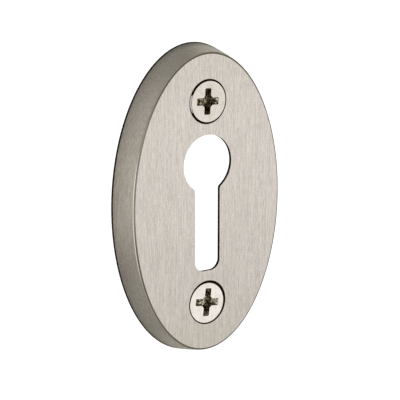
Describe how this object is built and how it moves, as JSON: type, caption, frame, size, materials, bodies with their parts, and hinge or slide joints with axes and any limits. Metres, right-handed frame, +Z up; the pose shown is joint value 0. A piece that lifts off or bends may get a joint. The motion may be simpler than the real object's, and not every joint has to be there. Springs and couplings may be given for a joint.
{
  "type": "keyhole escutcheon",
  "caption": "Oval hollow-backed keyhole escutcheon in brushed nickel, its key opening round above a parallel slot, fixed by flat-head cross-recess wood screws above and below it.",
  "frame": {"origin": "middle of the plane in which the rim and the screw bosses lie against the door, halfway between the screws", "axes": "+Z up along the plate's height, -Y out of its face, +Y into the wood along the screws, +X to the right of someone who looks at the face"},
  "size_m": [0.034, 0.0191, 0.0562],
  "materials": {
    "plate_nickel": "satin nickel, brushed along the plate's height",
    "screw_nickel": "bright nickel plating, slightly satin"
  },
  "bodies": {
    "root": {"escutcheon_plate": "plate_nickel", "upper_screw": "screw_nickel", "lower_screw": "screw_nickel"}
  },
  "joints": []
}
